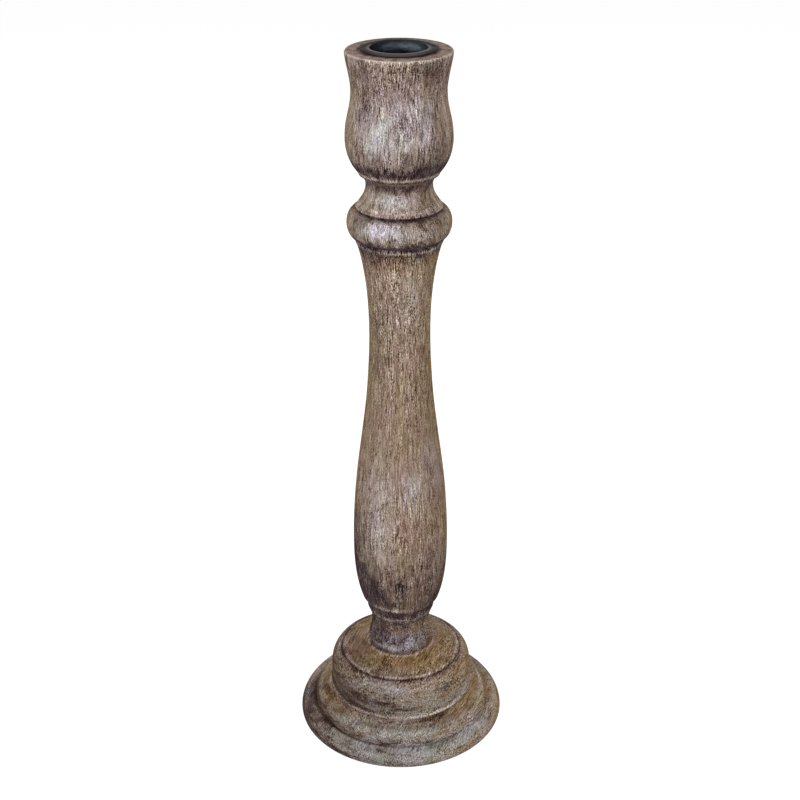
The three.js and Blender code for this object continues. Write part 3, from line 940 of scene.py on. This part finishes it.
outline = outline_from(collar_bore_radius, COLLAR_SEAT)
line_to(outline, BEAD_ROOT_RADIUS, COLLAR_SEAT)
swell_to(outline, BEAD_RADIUS, bead_middle)
crown_to(outline, BEAD_ROOT_RADIUS, BEAD_TOP)
line_to(outline, BEAD_ROOT_RADIUS - QUIRK_DEPTH, BEAD_TOP + QUIRK_HEIGHT / 3)
line_to(outline, BEAD_ROOT_RADIUS + QUIRK_WIDTH, quirk_top)
sweep_to(outline, NECK_RADIUS, NECK_RING, 0.17, 0.5, leave_lean=-0.5)
bow_to(outline, NECK_RADIUS, CUP_SEAT - NECK_HOLLOW_ROUND, CUP_BOTTOM_RADIUS - CUP_OVERHANG, CUP_SEAT)
line_to(outline, collar_bore_radius, CUP_SEAT)
collar_finish = {
    "worn": [ring(None, BEAD_TOP + 2.3, 0.45, 0.7, 0, 0.5), ring(None, BEAD_TOP + 1.0, 0.35, 0.4)],
    # Dark in the quirk, under the bead and in the neck under the cup: painted shade, with stains on the bead
    "stain_and_shade": [
        ring(BEAD_ROOT_RADIUS, BEAD_TOP + 0.1, 0.7, 0.5),
        cloud(2, BEAD_ROOT_RADIUS, BEAD_TOP + 0.1, 14, 0.8, 1.0),
        ring(None, COLLAR_SEAT + 0.5, 1.5, 1.9),
        ring(None, CUP_SEAT - 2.4, 2.4, 0.78, -20, 0.3),
        cloud(46, 17, BEAD_TOP + 2.8, 8, 3, 0.4),
        cloud(42, 20.5, BEAD_TOP - 2.2, 9, 3, 0.4),
        cloud(-54, 20.5, BEAD_TOP - 2.1, 8, 4, 0.4),
        cloud(6, 20.8, BEAD_TOP - 2.6, 5, 2.5, 0.25),
        cloud(0, 21, bead_middle - 1.5, 4, 3, 0.35),
        cloud(30, 20.5, bead_middle - 2.5, 7, 3, 0.3),
    ],
    # Pale on the bead, left and right of the front, and on the neck: painted highlights of the two front
    # lamps, over lime
    "lime_and_highlight": [
        cloud(-12, 15, NECK_RING - 3.2, 9, 3.2, 0.6),
        cloud(-22, 20.8, bead_middle + 2.1, 8, 3.2, 1.1),
        cloud(20, 20.8, bead_middle + 0.5, 6, 2.5, 0.28),
    ],
    # Amber at the sides: painted amber light
    "amber_and_warm_light": [
        cloud(78, 18, BEAD_TOP + 3.4, 10, 16, 0.7),
        cloud(-85, 18, BEAD_TOP + 1.4, 8, 16, 0.5),
        cloud(20, 15, NECK_RING - 3.2, 10, 5, 0.3),
    ],
    # Reddish just under the cup and low on the bead: painted shade; the other reddish rings are the wood's
    # colour
    "russet_and_shade": [
        ring(None, BEAD_TOP + 1.8, 1.0, 0.4),
        ring(None, CUP_SEAT - 0.4, 1.8, 1.0),
        ring(None, NECK_RING + 1.4, 1.3, 1.0),
        ring(None, COLLAR_SEAT + 2.1, 1.5, 0.6),
        ring(None, BEAD_TOP - 1.4, 1.5, 0.45),
    ],
    "smooth": [ring(None, bead_middle + 1.0, 4, 0.35)],
}
collar = turned("beaded_collar", outline, SIDES, COLLAR_ARRIS, collar_finish, closed=True)
fit(collar, "collar", "stand", collar_wood)


# The cup: worn arris, belly, waist and rolled rim, bored for the liner and tenoned below

cup_bore_radius = MOUTH_RADIUS + LINER_WALL + FIT_GAP
cup_bore_floor = LINER_BOTTOM - FIT_GAP

outline = outline_from(0, CUP_TENON_END)
line_to(outline, NECK_TENON_RADIUS, CUP_TENON_END)
line_to(outline, NECK_TENON_RADIUS, CUP_SEAT)
line_to(outline, CUP_BOTTOM_RADIUS, CUP_SEAT)
line_to(outline, CUP_BOTTOM_RADIUS + ARRIS_SPREAD, CUP_SEAT + ARRIS_HEIGHT)
sweep_to(outline, BELLY_RADIUS, BELLY, 0.11, 0.59, leave_lean=0.77)
sweep_to(outline, WAIST_RADIUS, WAIST, 0.45, 0.43)
sweep_to(outline, RIM_RADIUS, RIM_LEVEL - RIM_ROUND, 0.3, 0.15)
bow_to(outline, RIM_RADIUS, RIM_LEVEL, RIM_RADIUS - RIM_ROUND, RIM_LEVEL)
face_to(outline, cup_bore_radius, RIM_LEVEL)
line_to(outline, cup_bore_radius, cup_bore_floor)
line_to(outline, 0, cup_bore_floor)
cup_finish = {
    # Pale rim and lower arris, brightest at the front: wear with painted highlights
    "worn": [
        ring(RIM_RADIUS - 0.3, RIM_LEVEL - 0.3, 0.45, 1.0, -20, 0.7),
        ring(None, CUP_SEAT + 1.5, 0.55, 1.3, 0, 0.4),
    ],
    # Dark on the underside and low on the cup, round the liner's flange and at the back of the rim: painted
    # shade, with stains on the sides
    "stain_and_shade": [
        ring(None, CUP_SEAT + 0.3, 0.7, 0.9),
        ring(None, CUP_SEAT + 4.4, 2.8, 0.95),
        ring(None, CUP_SEAT + 11, 4, 0.15),
        cloud(36, 20.4, RIM_LEVEL - 4.9, 10, 5, 0.5),
        cloud(30, 20.8, RIM_LEVEL - 2.9, 12, 2, 0.3),
        cloud(-42, 20.3, RIM_LEVEL - 5.9, 9, 4, 0.5),
        cloud(0, 20.2, WAIST + 6.1, 3.5, 4, 0.35),
        cloud(-44, 19.3, WAIST - 5.9, 5, 5, 0.55),
        cloud(-26, 19, WAIST + 1.1, 4, 4, 0.3),
        cloud(0, 20.5, WAIST - 4.9, 4, 10, 0.25),
        cloud(37, 19.5, WAIST - 5.9, 5, 5, 0.3),
        cloud(50, 21.3, BELLY + 0.1, 6, 5, 0.3),
        cloud(40, 20.5, CUP_SEAT + 5.9, 10, 3, 0.5),
        cloud(14, 21, BELLY - 4.9, 7, 4, 0.25),
        ring(FLANGE_RADIUS + 0.3, RIM_LEVEL, 0.6, 1.0),
        cloud(180, 18, RIM_LEVEL, 9, 1.5, 0.6, repeated=False),
    ],
    # Pale patches on the belly left and right of the front: painted highlights of the two front lamps, over
    # lime; lime on the rim top
    "lime_and_highlight": [
        cloud(-22, 20.4, BELLY + 7.1, 9, 11, 0.62),
        cloud(22, 20.2, WAIST - 8.9, 8, 10, 0.52),
        ring(18, RIM_LEVEL, 3, 0.22),
    ],
    # Amber at the sides: painted amber light; amber on the rim top is the wood's colour
    "amber_and_warm_light": [
        cloud(80, 19.8, WAIST - 5.9, 10, 30, 0.6),
        cloud(-85, 19.8, WAIST - 3.9, 7, 25, 0.35),
        ring(17.5, RIM_LEVEL, 2.5, 0.65),
    ],
    # Reddish low on the cup: painted shade; the reddish patches near the rim are the wood's colour
    "russet_and_shade": [
        cloud(52, 19.8, WAIST + 7.1, 10, 9, 0.9),
        cloud(-62, 20, RIM_LEVEL - 6.9, 9, 8, 0.6),
        ring(None, CUP_SEAT + 4, 2, 0.5),
    ],
    "smooth": [ring(None, BELLY + 4.1, 12, 0.4), ring(17.5, RIM_LEVEL, 2.5, 0.8)],
}
cup = turned("socket_cup_turned", outline, SIDES, WOOD_ARRIS, cup_finish)
fit(cup, "socket_cup", "stand", cup_wood)


# The liner: a drawn metal cup with a domed flange that lies on the wood

DARK_STEEL = srgb(36, 43, 53)
PALE_STEEL = srgb(70, 84, 98)
# A painted reflection, pale bluish, high on the far inner wall of the bore
REFLECTION_STEEL = srgb(176, 192, 206)
BROWNED_STEEL = srgb(84, 74, 69)
# Painted shade round the flange's edge, at its sides and on the far lip
PAINTED_SHADE = srgb(24, 19, 19)
MOTTLE_PITCH = (2.6, 2.6, 1.3)
STEEL_RELIEF = 0.1
STEEL_GLOSS = 0.05


def dark_liner_metal():
    """Blackened steel, with a painted pale reflection in the bore, dulled to brown on the flange, and painted
    shade round its edge.
    """
    material, tree, shader = new_material("blackened liner steel")
    place = in_millimetres(tree)
    mottle = speckle(tree, place, MOTTLE_PITCH, detail=4.0, roughness=0.65).outputs[0]
    # A painted reflection in the bore, and brown on the flange, both broken by the mottle
    pale_patch = maths(tree, "MULTIPLY", stored(tree, "pale_patch"), step_up(tree, mottle, 0.3, 0.7, 0.5, 1.0))
    dulled = maths(tree, "MULTIPLY", stored(tree, "browned"), step_up(tree, mottle, 0.3, 0.6, 0.8, 1.0))
    steel = mix_colours(tree, step_up(tree, mottle, 0.3, 0.7), DARK_STEEL, PALE_STEEL)
    steel = mix_colours(tree, pale_patch, steel, REFLECTION_STEEL)
    metal = mix_colours(tree, dulled, steel, BROWNED_STEEL)
    # Painted shade round the flange and on the far lip
    metal = mix_colours(tree, stored(tree, "soil_and_shade"), metal, PAINTED_SHADE)
    tree.links.new(metal, shader.inputs["Base Color"])
    painted = maths(tree, "MAXIMUM", dulled, maths(tree, "MAXIMUM", pale_patch, stored(tree, "soil_and_shade")))
    tree.links.new(step_up(tree, painted, 0, 1, 0.8, 0.1), shader.inputs["Metallic"])
    rough = maths(tree, "MAXIMUM", painted, 0.35, clamp=True)
    rough = maths(tree, "MULTIPLY_ADD", mottle, 0.2, third=maths(tree, "MULTIPLY", rough, 0.6))
    tree.links.new(rough, shader.inputs["Roughness"])
    roughen(tree, shader, mottle, strength=0.25, depth=STEEL_RELIEF)
    shader.inputs["Specular IOR Level"].default_value = STEEL_GLOSS
    return material


liner_radius = MOUTH_RADIUS + LINER_WALL
liner_floor = LINER_BOTTOM + LINER_FLOOR
flange_bend = (FLANGE_RADIUS + MOUTH_RADIUS) / 2 + MOUTH_ROUND
# Painted shade on the flange's edge at its sides, which hides the highlights there
shaded_flange_sides = [
    cloud(turn, FLANGE_RADIUS + 0.2, RIM_LEVEL + 0.2, 4, 0.5, 0.8, repeated=False) for turn in (-58, 58)
]

outline = outline_from(0, LINER_BOTTOM)
line_to(outline, liner_radius, LINER_BOTTOM)
line_to(outline, liner_radius, RIM_LEVEL)
line_to(outline, FLANGE_RADIUS, RIM_LEVEL)
line_to(outline, FLANGE_RADIUS, RIM_LEVEL + FLANGE_EDGE)
bow_to(outline, flange_bend, LINER_TOP, MOUTH_RADIUS + MOUTH_ROUND, LINER_TOP)
bow_to(outline, MOUTH_RADIUS, LINER_TOP, MOUTH_RADIUS, LINER_TOP - MOUTH_ROUND)
face_to(outline, MOUTH_RADIUS, liner_floor)
line_to(outline, 0, liner_floor)
liner_finish = {
    # Brown and dull on the flange, strongest at the front and fading towards the back
    "browned": [ring(FLANGE_RADIUS - 1.0, LINER_TOP - 0.3, 1.8, 1.5, 0, 0.6)],
    # Painted shade: a dark line round the flange's edge, the far lip of the mouth and the flange's sides
    "soil_and_shade": [
        ring(FLANGE_RADIUS + 0.1, RIM_LEVEL, 0.6, 1.0),
        ring(MOUTH_RADIUS + 2, LINER_TOP, 2.2, 1.8, 180, 1.0),
        *shaded_flange_sides,
    ],
    # Painted reflection: pale bluish patches high on the far inner wall of the bore
    "pale_patch": [
        cloud(158, MOUTH_RADIUS, RIM_LEVEL - 0.9, 7, 1.4, 1.0, repeated=False),
        cloud(135, MOUTH_RADIUS, RIM_LEVEL - 3.4, 6, 3, 0.45, repeated=False),
        cloud(206, MOUTH_RADIUS, RIM_LEVEL - 1.5, 4, 1.2, 0.6, repeated=False),
    ],
}
liner = turned("liner_cup", outline, SIDES, LINER_ARRIS, liner_finish)
fit(liner, "candle_liner", "liner", dark_liner_metal())


# The screw and washer under the base

ZINC = srgb(196, 198, 200)
TARNISHED_ZINC = srgb(176, 168, 150)
BRUSH_PITCH = (0.25, 3.0, 3.0)
TARNISH_PITCH = (3.0, 3.0, 3.0)
BRUSH_RELIEF = 0.05


def plated_steel():
    """Zinc plate with fine brushing and a faint warm tarnish."""
    material, tree, shader = new_material("zinc-plated steel")
    place = in_millimetres(tree)
    brushed = speckle(tree, place, BRUSH_PITCH, detail=3.0).outputs[0]
    tarnish = speckle(tree, place, TARNISH_PITCH, detail=3.0, offset=20.0).outputs[0]
    zinc = mix_colours(tree, step_up(tree, tarnish, 0.4, 0.7), ZINC, TARNISHED_ZINC)
    tree.links.new(zinc, shader.inputs["Base Color"])
    tree.links.new(step_up(tree, brushed, 0.3, 0.7, 0.28, 0.46), shader.inputs["Roughness"])
    roughen(tree, shader, brushed, strength=0.2, depth=BRUSH_RELIEF)
    shader.inputs["Metallic"].default_value = 1.0
    return material


zinc_plate = plated_steel()

outline = outline_from(SCREW_HOLE_RADIUS, WASHER_BOTTOM)
line_to(outline, WASHER_RADIUS, WASHER_BOTTOM)
line_to(outline, WASHER_RADIUS, WASHER_TOP)
line_to(outline, SCREW_HOLE_RADIUS, WASHER_TOP)
washer = turned("flat_washer", outline, FITTING_SIDES, WASHER_ARRIS, {}, closed=True)
fit(washer, "screw_washer", "stand", zinc_plate)

outline = outline_from(0, SCREW_HEAD_LEVEL)
line_to(outline, SHANK_RADIUS, SCREW_HEAD_LEVEL)
bow_to(outline, HEAD_RADIUS, SCREW_HEAD_LEVEL, HEAD_RADIUS, WASHER_BOTTOM)
line_to(outline, SHANK_RADIUS, WASHER_BOTTOM)
line_to(outline, SHANK_RADIUS, SCREW_TIP - SCREW_POINT)
line_to(outline, 0, SCREW_TIP)


def cut_cross_recess(shape):
    """Sinks a cross into the flat face of the screw's head."""
    just_inside = (SCREW_HEAD_LEVEL + SAME_PLACE) * MM

    def head_face():
        return [face for face in shape.faces if face.calc_center_median().z < just_inside]

    bmesh.ops.dissolve_faces(shape, faces=head_face())
    for axis in (Vector((1, 0, 0)), Vector((0, 1, 0))):
        for away in (-RECESS_REACH, -RECESS_WIDTH / 2, RECESS_WIDTH / 2, RECESS_REACH):
            faces = head_face()
            parts = {part for face in faces for part in (*face.verts, *face.edges, face)}
            bmesh.ops.bisect_plane(shape, geom=list(parts), plane_co=axis * away * MM, plane_no=axis)
    cross = []
    for face in head_face():
        middle = face.calc_center_median() / MM
        near, far = sorted((abs(middle.x), abs(middle.y)))
        if near < RECESS_WIDTH / 2 and far < RECESS_REACH:
            cross.append(face)
    sunk = bmesh.ops.extrude_face_region(shape, geom=cross)["geom"]
    corners = [part for part in sunk if isinstance(part, bmesh.types.BMVert)]
    bmesh.ops.translate(shape, verts=corners, vec=(0, 0, RECESS_DEPTH * MM))
    bmesh.ops.delete(shape, geom=cross, context="FACES")
    bmesh.ops.recalc_face_normals(shape, faces=shape.faces)


screw = turned("base_screw", outline, FITTING_SIDES, SCREW_ARRIS, {}, cut=cut_cross_recess)
fit(screw, "stem_screw", "stand", zinc_plate)


# Floor, light and camera, in metres

FLOOR_SIZE = 6.0
FLOOR_LEVEL = -0.02 * MM  # just clear of the underside
FLOOR_GREY = (0.15, 0.15, 0.15, 1)  # the floor as it lights the part
FLOOR_SHADE = (0.4, 0.4, 0.4, 1)  # and as it is seen: this takes the part's shadow
FLOOR_GLOW = 0.85
FLOOR_ROUGHNESS = 0.9
WHITE = (1, 1, 1, 1)
ROOM_LIGHT = 0.3  # the white room is this strong as a light
LAMP_DISTANCE = 1.2
CAMERA_PLACE = (0, -0.5366, 0.4279)
CAMERA_PITCH = 26.5  # degrees below the horizon
CAMERA_ROLL = -0.19
CAMERA_LENS = 63.36
AIM = Vector((0, 0, 0.16))


def shows_white(tree):
    """1 for the rays that look at the background: the camera's, and those in metal and glass."""
    path = put(tree, "ShaderNodeLightPath").outputs
    seen = maths(tree, "ADD", path["Is Camera Ray"], path["Is Glossy Ray"])
    return maths(tree, "ADD", seen, path["Is Transmission Ray"], clamp=True)


def pale_floor():
    """A floor that looks nearly white, takes the part's shadow and throws little light back on it."""
    material, tree, shader = new_material("pale floor")
    shader.inputs["Base Color"].default_value = FLOOR_GREY
    shader.inputs["Roughness"].default_value = FLOOR_ROUGHNESS
    shader.inputs["Specular IOR Level"].default_value = 0.0
    lit = put(tree, "ShaderNodeBsdfDiffuse", {"Color": FLOOR_SHADE})
    glow = put(tree, "ShaderNodeEmission", {"Color": WHITE, "Strength": FLOOR_GLOW})
    seen = put(tree, "ShaderNodeAddShader", {0: lit.outputs[0], 1: glow.outputs[0]})
    both = put(tree, "ShaderNodeMixShader", {0: shows_white(tree), 1: shader.outputs[0], 2: seen.outputs[0]})
    tree.links.new(both.outputs[0], tree.nodes["Material Output"].inputs["Surface"])
    return material


floor_shape = bmesh.new()
bmesh.ops.create_grid(floor_shape, x_segments=1, y_segments=1, size=FLOOR_SIZE / 2)
floor = finished_piece("floor", floor_shape, {})
floor.location.z = FLOOR_LEVEL
floor.data.materials.append(pale_floor())

world = bpy.data.worlds.new("studio")
bpy.context.scene.world = world
world.use_nodes = True
sky = world.node_tree.nodes["Background"]
strength = step_up(world.node_tree, shows_white(world.node_tree), 0, 1, ROOM_LIGHT, 1.0)
world.node_tree.links.new(strength, sky.inputs["Strength"])
sky.inputs["Color"].default_value = WHITE


def soft_box(name, turn, rise, width, height, power):
    """A soft lamp aimed at the middle of the column."""
    lamp = bpy.data.lights.new(name, "AREA")
    lamp.shape = "RECTANGLE"
    lamp.size, lamp.size_y, lamp.energy = width, height, power
    holder = bpy.data.objects.new(name, lamp)
    angle, lift = math.radians(turn), math.radians(rise)
    away = Vector((math.sin(angle) * math.cos(lift), -math.cos(angle) * math.cos(lift), math.sin(lift)))
    holder.location = AIM + away * LAMP_DISTANCE
    holder.rotation_euler = away.to_track_quat("Z", "Y").to_euler()
    bpy.context.scene.collection.objects.link(holder)


soft_box("left_box", -33, 6, 0.2, 0.5, 7.5)
soft_box("right_box", 33, 6, 0.2, 0.5, 5.0)
soft_box("back_left_box", -145, 3, 0.3, 0.5, 4.5)
soft_box("back_right_box", 145, 3, 0.3, 0.5, 4.5)
soft_box("top_box", 0, 78, 0.8, 0.8, 4.5)

camera = bpy.data.objects.new("camera", bpy.data.cameras.new("camera"))
camera.data.lens = CAMERA_LENS
turned_down = Matrix.Rotation(math.radians(90 - CAMERA_PITCH), 4, "X")
rolled = Matrix.Rotation(math.radians(CAMERA_ROLL), 4, "Z")
camera.matrix_world = Matrix.Translation(CAMERA_PLACE) @ turned_down @ rolled
bpy.context.scene.collection.objects.link(camera)
bpy.context.scene.camera = camera
bpy.context.scene.view_settings.view_transform = "Standard"
